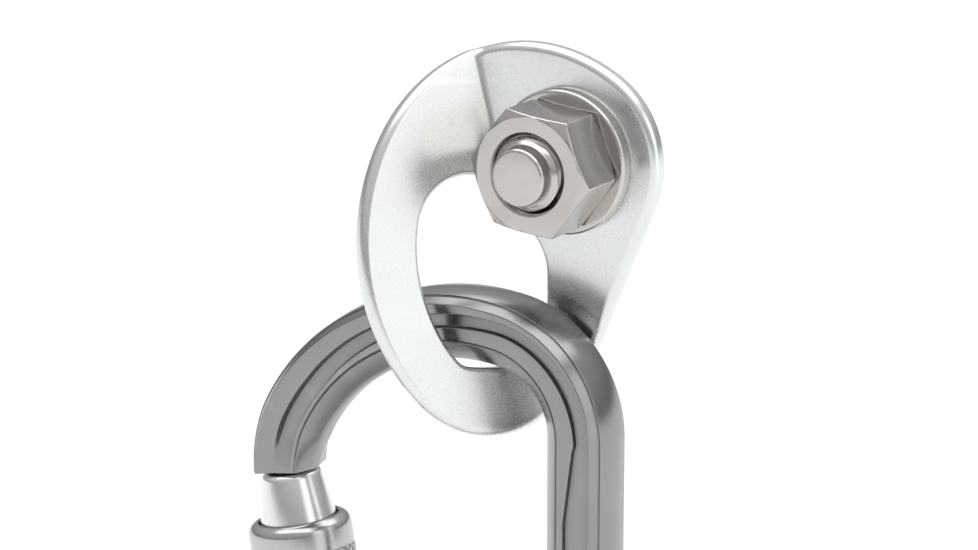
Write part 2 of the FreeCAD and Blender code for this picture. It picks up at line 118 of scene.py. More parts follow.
def gate_point(x, y, t):
    """Row-frame point of the gate's own frame: t runs up the gate from the rivet."""
    a = math.radians(GATE_LEAN)
    return Vector((RIVET[0] + x * math.cos(a) - t * math.sin(a), BAR_Y + y,
                   RIVET[1] + x * math.sin(a) + t * math.cos(a)))


def stud_point(x, y, t):
    """Row-frame point of a shape turned about the stud's axis: t runs into the wall."""
    return Vector((x, t, y))


def new_piece(name, verts, faces, sharp=35.0, even=True):
    """Smooth-shaded mesh object from millimetre points."""
    mesh = bpy.data.meshes.new(name)
    mesh.from_pydata([tuple(c * MM for c in v) for v in verts], [], faces)
    mesh.validate()
    mesh.update()
    tidy = bmesh.new()
    tidy.from_mesh(mesh)
    bmesh.ops.remove_doubles(tidy, verts=tidy.verts, dist=1e-7)
    bmesh.ops.recalc_face_normals(tidy, faces=tidy.faces)
    tidy.to_mesh(mesh)
    tidy.free()
    shade(mesh, sharp)
    piece = bpy.data.objects.new(name, mesh)
    bpy.context.scene.collection.objects.link(piece)
    if even:
        piece.modifiers.new("even_normals", "WEIGHTED_NORMAL").keep_sharp = True
    return piece


def shade(mesh, sharp):
    mesh.polygons.foreach_set("use_smooth", [True] * len(mesh.polygons))
    mesh.set_sharp_from_angle(angle=math.radians(sharp))


def place(piece, body, slot, material, *replaced):
    """Gives a piece its finish, its body and the CAD nodes it stands for."""
    piece.data.materials.clear()
    piece.data.materials.append(material)
    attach(piece, body)
    if replaced:
        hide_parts(*replaced)


def lathe(profile, put, turns=96, start=0.0, sweep=360.0):
    """Surface of revolution of (radius, height) points; a radius of 0 closes an end."""
    closed = sweep >= 360.0
    count = turns if closed else turns + 1
    verts = []
    for radius, height in profile:
        for k in range(count):
            a = math.radians(start + sweep * k / turns)
            verts.append(put(radius * math.cos(a), radius * math.sin(a), height))
    faces = []
    for row in range(len(profile) - 1):
        for k in range(turns):
            a = row * count + k
            b = row * count + (k + 1) % count
            faces.append((a, b, b + count, a + count))
    return verts, faces


def rounded(corners, steps=5):
    """Open or closed chain of ((x, y), radius) corners with each corner turned into an arc."""
    points = []
    count = len(corners)
    for i, (corner, radius) in enumerate(corners):
        here = Vector(corner)
        if radius <= 0:
            points.append(tuple(here))
            continue
        back = (Vector(corners[i - 1][0]) - here).normalized()
        ahead = (Vector(corners[(i + 1) % count][0]) - here).normalized()
        half = back.angle(ahead) / 2
        centre = here + (back + ahead).normalized() * (radius / math.sin(half))
        first = here + back * (radius / math.tan(half)) - centre
        last = here + ahead * (radius / math.tan(half)) - centre
        turn = math.atan2(first.x * last.y - first.y * last.x, first.dot(last))
        for k in range(steps + 1):
            a = turn * k / steps
            points.append((centre.x + first.x * math.cos(a) - first.y * math.sin(a),
                           centre.y + first.x * math.sin(a) + first.y * math.cos(a)))
    return points


def quads(rows, count, closed=True):
    """Faces between neighbouring rows of count points each."""
    faces = []
    last = count if closed else count - 1
    for row in range(rows - 1):
        for k in range(last):
            a = row * count + k
            b = row * count + (k + 1) % count
            faces.append((a, b, b + count, a + count))
    return faces


def carve(piece, cutters):
    """Cuts other meshes out of a piece and keeps the result as its own mesh."""
    for cutter in cutters:
        cut = piece.modifiers.new("cut", "BOOLEAN")
        cut.operation = "DIFFERENCE"
        cut.solver = "EXACT"
        cut.object = cutter
    bpy.context.view_layer.update()
    shaped = bpy.data.meshes.new_from_object(piece.evaluated_get(bpy.context.evaluated_depsgraph_get()))
    piece.modifiers.clear()
    old = piece.data
    piece.data = shaped
    bpy.data.meshes.remove(old)
    for cutter in cutters:
        bpy.data.objects.remove(cutter)


def slab(name, outline, low, high, put):
    """Prism of a convex (x, t) outline between two y values."""
    count = len(outline)
    verts = [put(x, low, t) for x, t in outline] + [put(x, high, t) for x, t in outline]
    faces = quads(2, count) + [tuple(range(count)), tuple(range(2 * count - 1, count - 1, -1))]
    return new_piece(name, verts, faces, even=False)


# ---------------------------------------------------------------- materials

PAINTED_SHADE_REACH = 0.0022      # metres to the next face of the same piece, within which shade is painted into the colour


def metal(name, colour, rough, grain=900.0, spread=0.04, dents=0.02, wear=0.25, streak=1.0, dark=0.8):
    """Satin metal: fine tumbled grain, faint stains, rubbed edges and a spread of roughness."""
    made = bpy.data.materials.new(name)
    made.use_nodes = True
    tree = made.node_tree
    nodes, links = tree.nodes, tree.links
    shader = nodes["Principled BSDF"]
    shader.inputs["Metallic"].default_value = 1.0
    place_at = nodes.new("ShaderNodeTexCoord")
    stretch = nodes.new("ShaderNodeMapping")
    stretch.inputs["Scale"].default_value = (1.0, 1.0, streak)
    links.new(place_at.outputs["Object"], stretch.inputs["Vector"])

    def noise(scale, detail, source):
        made_noise = nodes.new("ShaderNodeTexNoise")
        made_noise.inputs["Scale"].default_value = scale
        made_noise.inputs["Detail"].default_value = detail
        links.new(source, made_noise.inputs["Vector"])
        return made_noise.outputs["Fac"]

    fine = noise(grain, 3.0, stretch.outputs["Vector"])
    cloud = noise(95.0, 4.0, place_at.outputs["Object"])

    def remap(value, low, high, start=0.3, end=0.7):
        node = nodes.new("ShaderNodeMapRange")
        node.inputs["From Min"].default_value = start
        node.inputs["From Max"].default_value = end
        node.inputs["To Min"].default_value = low
        node.inputs["To Max"].default_value = high
        links.new(value, node.inputs["Value"])
        return node.outputs["Result"]

    tint = nodes.new("ShaderNodeMix")
    tint.data_type = "RGBA"
    links.new(remap(cloud, 0.0, 1.0), tint.inputs["Factor"])
    tint.inputs["A"].default_value = (*[c * dark for c in colour], 1.0)
    tint.inputs["B"].default_value = (*colour, 1.0)
    # edges that are handled turn brighter
    shape = nodes.new("ShaderNodeNewGeometry")
    rubbed = remap(shape.outputs["Pointiness"], 0.0, wear, 0.52, 0.62)
    edge = nodes.new("ShaderNodeMix")
    edge.data_type = "RGBA"
    links.new(rubbed, edge.inputs["Factor"])
    links.new(tint.outputs["Result"], edge.inputs["A"])
    edge.inputs["B"].default_value = (*[min(1.0, c * 1.35 + 0.05) for c in colour], 1.0)
    # painted shade: the colour is darkened in the grooves and against the steps, where shade falls
    crease_shade = nodes.new("ShaderNodeAmbientOcclusion")
    crease_shade.samples = 6
    crease_shade.only_local = True
    crease_shade.inputs["Distance"].default_value = PAINTED_SHADE_REACH
    painted_shade = nodes.new("ShaderNodeMix")
    painted_shade.data_type = "RGBA"
    painted_shade.blend_type = "MULTIPLY"
    painted_shade.inputs["Factor"].default_value = 1.0
    open_air = remap(crease_shade.outputs["AO"], 0.22, 1.0, 0.35, 0.92)
    links.new(edge.outputs["Result"], painted_shade.inputs["A"])
    links.new(open_air, painted_shade.inputs["B"])
    links.new(painted_shade.outputs["Result"], shader.inputs["Base Color"])
    mix = nodes.new("ShaderNodeMath")
    mix.operation = "ADD"
    links.new(remap(fine, -spread, spread), mix.inputs[0])
    links.new(remap(cloud, rough - spread / 2, rough + spread / 2), mix.inputs[1])
    links.new(mix.outputs["Value"], shader.inputs["Roughness"])
    bump = nodes.new("ShaderNodeBump")
    bump.inputs["Strength"].default_value = dents
    bump.inputs["Distance"].default_value = 0.0004
    links.new(fine, bump.inputs["Height"])
    links.new(bump.outputs["Normal"], shader.inputs["Normal"])
    return made


def plastic(name, colour, rough):
    made = metal(name, colour, rough, grain=1400.0, dents=0.05, wear=0.1)
    made.node_tree.nodes["Principled BSDF"].inputs["Metallic"].default_value = 0.0
    return made


PLATE = metal("satin_plate", (0.77, 0.79, 0.79), 0.27, grain=1500.0, spread=0.02, dents=0.004, dark=0.94)
STUD = metal("turned_stud", (0.62, 0.59, 0.56), 0.24, grain=1600.0, spread=0.03, dents=0.006, dark=0.85)
NUT = metal("machined_nut", (0.58, 0.555, 0.53), 0.2, grain=1800.0, spread=0.03, dents=0.006, dark=0.85)
WASHER = metal("stamped_washer", (0.62, 0.60, 0.57), 0.23, grain=1500.0, spread=0.03, dents=0.006,
               dark=0.85)
FRAME = metal("gunmetal_anodised", (0.31, 0.31, 0.315), 0.24, grain=1300.0, spread=0.02, dents=0.004,
              dark=0.93)
HEAD = metal("bright_gate", (0.86, 0.86, 0.87), 0.24, grain=1500.0, spread=0.02, dents=0.004, dark=0.94)
SLEEVE = metal("grey_sleeve", (0.52, 0.52, 0.53), 0.22, grain=1500.0, dents=0.012, dark=0.9)
PIN = metal("ground_pin", (0.62, 0.62, 0.62), 0.2, grain=1200.0, dents=0.02)
WIRE = metal("spring_wire", (0.5, 0.51, 0.53), 0.25, grain=1600.0, dents=0.012)
GUIDE = plastic("guide_plastic", (0.045, 0.045, 0.05), 0.5)


# ---------------------------------------------------------------- hanger

ACROSS = Vector((-math.cos(math.radians(BEND_TILT)), 0, -math.sin(math.radians(BEND_TILT))))
DOWN = Vector((math.sin(math.radians(BEND_TILT)), 0, -math.cos(math.radians(BEND_TILT))))
INWARD = Vector((0, 1, 0))


def bent(point):
    """Where a point of the flat blank goes when the ring is bent out of the wall plane."""
    flat = Vector((point.x, 0, point.z))
    along = flat.dot(DOWN)
    past = flat.dot(ACROSS) - BEND_D
    depth = point.y + PLATE_T
    tangent = BEND_R * math.tan(math.radians(BEND_ANGLE / 2))
    if past <= -tangent:
        return point
    turn = math.radians(BEND_ANGLE * min(1.0, (past + tangent) / (2 * tangent)))
    out = INWARD * math.cos(turn) + ACROSS * math.sin(turn)
    onward = ACROSS * math.cos(turn) - INWARD * math.sin(turn)
    centre = ACROSS * (BEND_D - tangent) - INWARD * (PLATE_T + BEND_R)
    return centre + out * (BEND_R + depth) + DOWN * along + onward * max(0.0, past - tangent)


def outline(arcs, spacing=0.8):
    """Points and outward normals round (centre, radius, start, end, side) arcs."""
    points = []
    for centre, radius, start, end, side in arcs:
        steps = max(3, math.ceil(abs(math.radians(end - start)) * radius / spacing))
        for k in range(steps + 1):
            a = start + (end - start) * k / steps
            points.append((polar(centre, radius, a), polar((0, 0), side, a)))
    return points


def hanger_loops():
    shoulder = polar((0, 0), PAD_R - SHOULDER_R, SHOULDER_END)
    back = polar(shoulder, SHOULDER_R - BACK_R, BACK_START)
    lobe = polar(back, BACK_R - LOBE_R, BACK_END)
    blank = outline([
        ((0, 0), PAD_R, -EDGE_LEAN, SHOULDER_END, 1),
        (shoulder, SHOULDER_R, SHOULDER_END, BACK_START, 1),
        (back, BACK_R, BACK_START, BACK_END, 1),
        (lobe, LOBE_R, BACK_END, 360 - EDGE_LEAN, 1),
    ])
    lower = (EYE_RIGHT_X - EYE_END_R, EYE_LOWER_Z)
    upper = (EYE_RIGHT_X - EYE_END_R, EYE_UPPER_Z)
    upper_end = math.degrees(math.atan2(-upper[1], -upper[0]))
    long_arc = polar(lower, EYE_END_R - EYE_BACK_R, EYE_LOW_TURN)
    top = polar(long_arc, EYE_BACK_R - EYE_TOP_R, EYE_TOP_TURN)
    to_top = math.hypot(*top)
    to_corner = EYE_PAD_R + EYE_CORNER_R
    spread = to_corner ** 2 + to_top ** 2 - (EYE_TOP_R - EYE_CORNER_R) ** 2
    swing = math.degrees(math.acos(spread / (2 * to_corner * to_top)))
    corner_dir = math.degrees(math.atan2(top[1], top[0])) % 360 - swing
    corner = polar((0, 0), to_corner, corner_dir)
    corner_end = math.degrees(math.atan2(corner[1] - top[1], corner[0] - top[0]))
    heel = polar(long_arc, EYE_BACK_R - EYE_HEEL_R, EYE_LOW_TURN)
    base = polar(heel, EYE_HEEL_R - EYE_BASE_R, EYE_BASE_TURN)
    low_x = EYE_RIGHT_X - EYE_LOW_R
    low_end = (low_x, base[1] - math.sqrt((EYE_BASE_R - EYE_LOW_R) ** 2 - (low_x - base[0]) ** 2))
    turn_right = math.degrees(math.atan2(low_end[1] - base[1], low_end[0] - base[0])) % 360
    eye = outline([
        (upper, EYE_END_R, 0, upper_end, -1),
        ((0, 0), EYE_PAD_R, 180 + upper_end, corner_dir, 1),
        (corner, EYE_CORNER_R, corner_dir - 180, corner_end, -1),
        (top, EYE_TOP_R, corner_end, EYE_TOP_TURN, -1),
        (long_arc, EYE_BACK_R, EYE_TOP_TURN, EYE_LOW_TURN, -1),
        (heel, EYE_HEEL_R, EYE_LOW_TURN, EYE_BASE_TURN, -1),
        (base, EYE_BASE_R, EYE_BASE_TURN, turn_right, -1),
        (low_end, EYE_LOW_R, turn_right, 360, -1),
    ])
    hole = outline([((0, 0), STUD_HOLE_R, 0, 355, -1)])
    return blank, eye, hole


def edge_profile(front_r, back_r, steps=6):
    """(inset, y) pairs round a plate edge, from the front face to the back face."""
    rows = []
    for k in range(steps + 1):
        a = math.radians(90 * k / steps)
        rows.append((front_r * (1 - math.sin(a)), -PLATE_T + front_r * (1 - math.cos(a))))
    for k in range(steps + 1):
        a = math.radians(90 * k / steps)
        rows.append((back_r * (1 - math.cos(a)), -back_r * (1 - math.sin(a))))
    return rows


def build_hanger():
    verts, faces, fronts, backs = [], [], [], []
    for loop, front_r, back_r in zip(hanger_loops(), (1.3, 0.8, 0.4), (0.7, 0.6, 0.3)):
        rows = edge_profile(front_r, back_r)
        base = len(verts)
        for inset, y in rows:
            verts += [Vector((p[0] - n[0] * inset, y, p[1] - n[1] * inset)) for p, n in loop]
        count = len(loop)
        faces += [tuple(base + i for i in face) for face in quads(len(rows), count)]
        fronts.append(list(range(base, base + count)))
        backs.append(list(range(base + (len(rows) - 1) * count, base + len(rows) * count)))
    for rings in (fronts, backs):
        order = [i for ring in rings for i in ring]
        flat = [[Vector((verts[i].x, verts[i].z, 0)) for i in ring] for ring in rings]
        faces += [tuple(order[i] for i in tri) for tri in tessellate_polygon(flat)]
    mesh = bmesh.new()
    made = [mesh.verts.new(v) for v in verts]
    for face in faces:
        if len(set(face)) > 2:
            mesh.faces.new([made[i] for i in face])
    bmesh.ops.remove_doubles(mesh, verts=mesh.verts, dist=1e-4)
    tangent = BEND_R * math.tan(math.radians(BEND_ANGLE / 2))
    cuts = 14
    for k in range(cuts + 1):
        at = ACROSS * (BEND_D + tangent * (2 * k / cuts - 1))
        everything = mesh.verts[:] + mesh.edges[:] + mesh.faces[:]
        bmesh.ops.bisect_plane(mesh, geom=everything, dist=1e-5, plane_co=at, plane_no=ACROSS)
    places = [tuple(bent(v.co)) for v in mesh.verts]
    mesh.verts.index_update()
    polygons = [tuple(v.index for v in f.verts) for f in mesh.faces]
    mesh.free()
    return new_piece("hanger_body", places, polygons, sharp=28.0)


place(build_hanger(), "hanger", "plate_steel", PLATE, "hanger_plate")


# ---------------------------------------------------------------- stud, washer and nut

def build_stud():
    """The stud: a plain stub, a rolled thread, a relief groove at the wall and a second thread."""
    turns = 96
    rows = [(0.0, STUB_Y)] + rounded([((0.0, STUB_Y), 0), ((STUB_R, STUB_Y), 0.55),
                                     ((STUB_R, THREAD_END_Y), 0)])[1:]
    rows.append((STUB_R + 0.05, THREAD_END_Y + 0.02))

    def thread(begin, end):
        """Rows whose radius follows the thread, with a lead-in at both ends."""
        steps = round((end - begin) / THREAD_PITCH * 10)
        for k in range(steps + 1):
            y = begin + (end - begin) * k / steps
            rows.append((min(y - begin, end - y), y))

    lead = 0.9
    first = len(rows)
    thread(THREAD_END_Y + 0.04, -0.05)
    middle = len(rows)
    rows += [(RELIEF_R, 0.0), (RELIEF_R - 0.1, 0.1), (RELIEF_R - 0.1, RELIEF_END_Y - 0.1),
             (RELIEF_R, RELIEF_END_Y)]
    second = len(rows)
    thread(RELIEF_END_Y + 0.02, STUD_END_Y - 0.02)
    last = len(rows)
    rows.append((0.0, STUD_END_Y))
    verts = []
    for i, (radius, y) in enumerate(rows):
        threaded = first <= i < middle or second <= i < last
        for k in range(turns):
            a = 2 * math.pi * k / turns
            r = radius
            if threaded:
                phase = (y / THREAD_PITCH + k / turns) % 1.0
                groove = THREAD_DEPTH * max(0.0, 1 - abs(phase - 0.5) / 0.42)
                r = THREAD_R - max(groove, lead * max(0.0, 1 - radius / lead))
            verts.append((r * math.cos(a), y, r * math.sin(a)))
    return new_piece("stud_body", verts, quads(len(rows), turns), sharp=40.0, even=False)


def build_washer():
    face = -PLATE_T - WASHER_T
    profile = rounded([((WASHER_IN_R, -PLATE_T), 0.25), ((WASHER_R, -PLATE_T), 0.7),
                       ((WASHER_R, face), 0.55), ((WASHER_IN_R, face), 0.3)])
    verts, faces = lathe(profile + profile[:1], stud_point, 128)
    return new_piece("washer_body", verts, faces)


def build_nut():
    """Hexagon with rounded corners, chamfered to a cone at both ends and countersunk."""
    foot = -PLATE_T - WASHER_T
    top = foot - NUT_H
    corner_r = NUT_AF / math.sqrt(3)
    corners = [(polar((0, 0), corner_r, NUT_TURN + 60 * k), 0.35) for k in range(6)]
    bare = rounded(corners, 3)
    loop = []
    for here, after in zip(bare, bare[1:] + bare[:1]):
        pieces = 14 if math.dist(here, after) > 2 else 1
        for k in range(pieces):
            f = k / pieces
            loop.append((here[0] + (after[0] - here[0]) * f, here[1] + (after[1] - here[1]) * f))
    flat_r = NUT_AF / 2 - 0.15
    slope = math.tan(math.radians(30))

    def ring(radius, y):
        return [(radius * p[0] / math.hypot(*p), y, radius * p[1] / math.hypot(*p)) for p in loop]

    first = math.atan2(loop[0][1], loop[0][0])
    turn = 1 if loop[0][0] * loop[1][1] > loop[0][1] * loop[1][0] else -1

    def even_ring(radius, y):
        """Evenly spread ring, for the flat face and the bore."""
        turns = [first + turn * 2 * math.pi * k / len(loop) for k in range(len(loop))]
        return [(radius * math.cos(a), y, radius * math.sin(a)) for a in turns]

    def wall(inset, drop, end, sign):
        """Round the hexagon, where the chamfer's cone meets the flats, and a little off it."""
        made = []
        for p in loop:
            reach = math.hypot(*p)
            rise = (reach - flat_r) * slope
            scale = (reach - inset) / reach
            made.append((p[0] * scale, end + sign * (rise - inset * slope + drop), p[1] * scale))
        return made

    rows = [even_ring(NUT_BORE_R, foot - 0.75), even_ring(NUT_SINK_R, foot),
            even_ring(flat_r - 0.15, foot),
            wall(0.16, 0.0, foot, -1), wall(0.03, 0.04, foot, -1), wall(0.0, 0.16, foot, -1),
            wall(0.0, 0.16, top, 1), wall(0.03, 0.04, top, 1), wall(0.16, 0.0, top, 1),
            ring(flat_r - 0.05, top + 0.02), even_ring(flat_r - 0.2, top),
            even_ring(NUT_SINK_R + 0.15, top), even_ring(NUT_SINK_R, top + 0.1),
            even_ring(NUT_BORE_R, top + 0.8), even_ring(NUT_BORE_R, foot - 0.75)]
    verts = [v for row in rows for v in row]
    return new_piece("nut_body", verts, quads(len(rows), len(loop)), sharp=40.0)


place(build_stud(), "anchor", "fastener_steel", STUD, "anchor_stud")
place(build_washer(), "washer", "washer_steel", WASHER, "flat_washer")
place(build_nut(), "nut", "nut_steel", NUT, "hex_nut")


# ---------------------------------------------------------------- carabiner frame

# Where the recess and the inner rib lie, from the bar's centre line, at distances along the bar
# from the top of the spine: the nose end is positive.
RECESS = (
    # distance, lip of the outer flange, outer edge of the rib, inner edge of the rib
    (-40.0, 4.2, -0.9, -2.2),
    (-13.0, 4.2, -0.9, -2.2),
    (-0.6, 4.2, 0.7, -2.2),
    (0.0, 4.2, 1.0, -2.2),
    (22.0, 3.1, 0.7, -1.9),
    (42.0, 2.2, -0.4, -2.0),
    (62.0, 0.9, -2.2, -3.0),
    (83.0, 0.2, -3.2, -4.0),
)


def recess_at(along):
    """Lip, rib and inner edge of the recess at a distance along the bar."""
    if along <= RECESS[0][0]:
        return RECESS[0][1:]
    for (start, *low), (end, *high) in zip(RECESS, RECESS[1:]):
        if along <= end:
            f = (along - start) / (end - start)
            return tuple(a + (b - a) * f for a, b in zip(low, high))
    return RECESS[-1][1:]


def bar_section(recess, slim=0.0, along=-40.0):
    """(out, across) points round the bar; recess 1 is the full I section, 0 a solid bar."""
    inner_w = BAR_W + (NOSE_IN - BAR_W) * slim
    outer_h = BAR_H + (NOSE_H - BAR_H) * slim
    inner_h = BAR_IN_H + (NOSE_H - 0.2 - BAR_IN_H) * slim
    lip, rib_out, rib_in = recess_at(along)
    rib_in = max(rib_in, 0.9 - inner_w)
    rib_out = max(rib_out, rib_in + 0.6)
    web = outer_h - (BAR_H - WEB_H) * recess
    rib_h = outer_h - 0.1 + (inner_h - outer_h + 0.1) * recess
    foot = CROWN_W - CHAMFER_W
    lip = min(lip, foot - 0.15)

    def half(side):
        return [((CROWN_W + 0.25, side * (outer_h - CROWN_H)), 0.1),
                ((CROWN_W, side * (outer_h - CROWN_H - 0.3)), 0.1),
                ((CROWN_W - 0.15, side * (outer_h - CROWN_H + 0.15)), 0.1),
                ((foot, side * outer_h), 0.3),
                ((lip, side * outer_h), 0.12), ((lip - 0.35, side * (web + 0.04)), 0.2),
                ((rib_out + 0.2, side * web), 0.12), ((rib_out, side * rib_h), 0.12),
                ((rib_in + 0.2, side * rib_h), 0.05), ((rib_in, side * (rib_h - 0.35)), 0.08),
                ((rib_in - 0.25, side * (rib_h - 0.05)), 0.1),
                ((-inner_w, side * (inner_h - 3.6)), 2.2)]

    crown = [((BAR_W, 0.0), 12.0)]
    return rounded(crown + half(1) + half(-1)[::-1], 4)


def stations():
    """(centre, radius, direction, recess, slim, along) from the nose to the heel."""
    path = []
    lengths = [radius * math.radians(end - start) for _, radius, start, end in TOP_CHAIN]

    def follow(arc, begin, end, recess, slim=lambda a: 0.0, base=-40.0, degrees=2.0):
        centre, radius, first = arc[:3]
        steps = max(2, math.ceil(abs(end - begin) / degrees))
        for k in range(steps + 1):
            a = begin + (end - begin) * k / steps
            along = base + radius * math.radians(a - first) if base > -40.0 else base
            path.append((centre, radius, a, recess(k / steps), slim(a), along))

    last = TOP_CHAIN[2]

    def taper(a):
        return max(0.0, (a - last[3] + SOLID_NOSE) / SOLID_NOSE)

    follow(last, last[3] - 6, last[2], lambda f: min(1.0, f * 1.6), taper, sum(lengths[:2]))
    follow(TOP_CHAIN[1], TOP_CHAIN[1][3], TOP_CHAIN[1][2], lambda f: 1.0, base=lengths[0])
    follow(TOP_CHAIN[0], TOP_CHAIN[0][3], TOP_CHAIN[0][2], lambda f: 1.0, base=0.0)
    centre, radius = TOP_CHAIN[0][:2]
    # close stations near the top of the spine, where the rib narrows
    for down in [0.6, 3, 5, 7, 9, 11, 13] + list(range(17, 66, 4)):
        path.append(((centre[0], centre[1] - down), radius, 0.0, 1.0, 0.0, -down))
    follow(BOTTOM_CHAIN[0], 0.0, -75.0, lambda f: 1.0)
    follow(BOTTOM_CHAIN[1], -75.0, -125.0, lambda f: 1.0)
    follow(BOTTOM_CHAIN[2], -125.0, -138.0, lambda f: 1.0 - f)
    return path


def build_frame():
    sections = []
    nose_x, nose_z = RIVET

    def nose_ring(shrink, reach):
        """The end of the nose, which is cut round about the rivet."""
        ring = []
        for out, side in bar_section(0.0, 1.0, sum(r * math.radians(e - s) for _, r, s, e in TOP_CHAIN)):
            x = NOSE[0] - out * shrink
            z = nose_z + math.sqrt(reach ** 2 - (x - nose_x) ** 2)
            ring.append((x, BAR_Y + side * shrink, z))
        return ring

    sections.append(nose_ring(0.94, NOSE_R))
    sections.append(nose_ring(0.985, NOSE_R + 0.1))
    sections.append(nose_ring(1.0, NOSE_R + 0.4))
    for centre, radius, degrees, recess, slim, along in stations():
        ring = []
        for out, side in bar_section(recess, slim, along):
            x, z = polar(centre, radius + out, degrees)
            ring.append((x, BAR_Y + side, z))
        sections.append(ring)
    centre, radius = BOTTOM_CHAIN[2][:2]
    for shrink, reach in ((1.0, HEEL_R + 0.4), (0.97, HEEL_R)):
        ring = []
        for out, side in bar_section(0.0):
            r = radius + out * shrink
            turn = math.acos((radius ** 2 + r ** 2 - reach ** 2) / (2 * radius * r))
            x, z = polar(centre, r, BOTTOM_CHAIN[2][3] + math.degrees(turn))
            ring.append((x, BAR_Y + side * shrink, z))
        sections.append(ring)
    count = len(sections[0])
    verts = [v for ring in sections for v in ring]
    faces = quads(len(sections), count)
    total = len(verts)
    faces += [tuple(range(count)), tuple(range(total - 1, total - count - 1, -1))]
    return new_piece("carabiner_bar", verts, faces, sharp=42.0, even=False)


def wedge(name, inner, outer, half_w, x0, x1):
    """Slab that is round about the rivet, for the nose's tongue and its slot."""
    steps = 6
    points = []
    for k in range(steps + 1):
        x = x0 + (x1 - x0) * k / steps
        points.append((x, math.sqrt(outer ** 2 - x ** 2)))
    for k in range(steps + 1):
        x = x1 + (x0 - x1) * k / steps
        points.append((x, math.sqrt(inner ** 2 - x ** 2)))
    return slab(name, points, -half_w, half_w, gate_point)


def soften(piece, width=0.25):
    bevel = piece.modifiers.new("soft_edges", "BEVEL")
    bevel.width = width * MM
    bevel.segments = 3
    bevel.limit_method = "ANGLE"
    bevel.angle_limit = math.radians(35)
    bevel.harden_normals = True


def build_tongue():
    foot = HEAD_TOP - BULB_DEPTH
    stem = wedge("nose_stem", foot + BULB_H - 0.2, NOSE_R + 0.6, STEM_W, TONGUE_OUT, TONGUE_IN)
    bulb = wedge("nose_bulb", foot, foot + BULB_H, BULB_W, TONGUE_OUT, TONGUE_IN)
    for piece in (stem, bulb):
        soften(piece, 0.2)
        place(piece, "carabiner", "frame_alloy", FRAME)


def build_tang():
    points = [(CAM_OFF + CAM_R * math.cos(math.radians(a)), CAM_R * math.sin(math.radians(a)))
              for a in range(0, 181, 6)]
    points = [(-CAM_R + 0.8, -HEEL_R - 1.0)] + [(CAM_R, -HEEL_R - 1.0)] + points
    tang = slab("hinge_tang", points, -TANG_W, TANG_W, gate_point)
    place(tang, "carabiner", "frame_alloy", FRAME)


frame_bar = build_frame()
place(frame_bar, "carabiner", "frame_alloy", FRAME, "carabiner_frame")
build_tongue()
build_tang()


# ---------------------------------------------------------------- gate

def build_barrel():
    profile = [(0.0, -BARREL_R)] + rounded(
        [((0.0, -BARREL_R), 0), ((BARREL_R, -BARREL_R), 0.3), ((BARREL_R, STOP_T - 0.05), 0.15),
         ((STOP_GROOVE_R, STOP_T - 0.05), 0.1), ((STOP_GROOVE_R, STOP_T + STOP_H + 0.05), 0.1),
         ((BARREL_R, STOP_T + STOP_H + 0.05), 0.15), ((BARREL_R, HEAD_FOOT - 0.9), 0.6),
         ((HEAD_FOOT_R, HEAD_FOOT), 0.4), ((HEAD_TOP_R + 0.05, HEAD_TOP - 0.1), 1.2),
         ((0.0, HEAD_TOP - 0.1), 0)], 6)[1:]
    verts, faces = lathe(profile, gate_point, 128)
    barrel = new_piece("gate_body", verts, faces, even=False)
    foot = HEAD_TOP - BULB_DEPTH
    inner = TONGUE_IN + SLOT_GAP
    wide = wedge("wide", foot - SLOT_GAP, foot + BULB_H + SLOT_GAP, BULB_W + SLOT_GAP, -12, inner)
    thin = wedge("thin", foot, HEAD_TOP + 3, STEM_W + SLOT_GAP, -12, inner)
    fork = slab("fork", [(-9, -9), (9, -9), (9, FORK_TOP), (-9, FORK_TOP)], -FORK_GAP, FORK_GAP,
                gate_point)
    corners = []
    for side in (-1, 1):
        # the foot is rounded about the rivet, so the corners outside that round are cut off
        cut = [(side * 9, -9.0), (side * 9, 0.0)]
        cut += [(side * BARREL_R * math.cos(math.radians(a)), -BARREL_R * math.sin(math.radians(a)))
                for a in range(0, 91, 10)]
        cut.append((0, -9.0))
        if side < 0:
            cut.reverse()
        corners.append(slab("round_foot", cut, -9, 9, gate_point))
    carve(barrel, [wide, thin, fork] + corners)
    shade(barrel.data, 30.0)
    place(barrel, "gate", "gate_steel", HEAD, "gate_barrel")


def build_sleeve():
    """Screw sleeve: smooth shoulder, a grip band of raised diamonds, and a smooth foot."""
    turns = 240
    top = rounded([((SLEEVE_MOUTH_R, SLEEVE_TOP - SLEEVE_MOUTH_L), 0), ((SLEEVE_MOUTH_R, SLEEVE_TOP), 0.35),
                   ((SLEEVE_R, SLEEVE_TOP), 1.9), ((SLEEVE_R, 41.2), 0)], 6)
    profile = [(r, t, 0.0) for r, t in top]
    band_top, band_foot = 41.0, 24.2
    profile.append((SLEEVE_R - 0.25, band_top + 0.05, 0.0))
    rows = 84
    for k in range(rows + 1):
        fade = min(1.0, k / 3, (rows - k) / 3)
        profile.append((SLEEVE_R - 0.25, band_top + (band_foot - band_top) * k / rows, fade))
    profile.append((SLEEVE_R - 0.25, band_foot - 0.05, 0.0))
    foot = rounded([((SLEEVE_R, 24.0), 0.2), ((SLEEVE_R, SLEEVE_FOOT), 1.2),
                    ((SLEEVE_BORE_R, SLEEVE_FOOT), 0.3), ((SLEEVE_BORE_R, 38.3), 0)], 5)[0:]
    profile += [(SLEEVE_R, 24.05, 0.0)] + [(r, t, 0.0) for r, t in foot[6:]]
    step = SLEEVE_TOP - SLEEVE_MOUTH_L
    profile += [(SLEEVE_BORE_R, step, 0.0), (SLEEVE_MOUTH_R, step, 0.0)]
    verts = []
    for radius, t, fade in profile:
        for k in range(turns):
            a = 2 * math.pi * k / turns
            r = radius
            if fade:
                u = a * 30 / (2 * math.pi)
                v = t / 1.75
                diamond = abs((u + v) % 1.0 - 0.5) + abs((u - v) % 1.0 - 0.5)
                r += fade * 0.45 * min(1.0, max(0.0, (diamond - 0.25) * 2.4)) - 0.2 * fade
            verts.append(gate_point(r * math.cos(a), r * math.sin(a), t))
    return new_piece("sleeve_body", verts, quads(len(profile), turns), sharp=50.0, even=False)


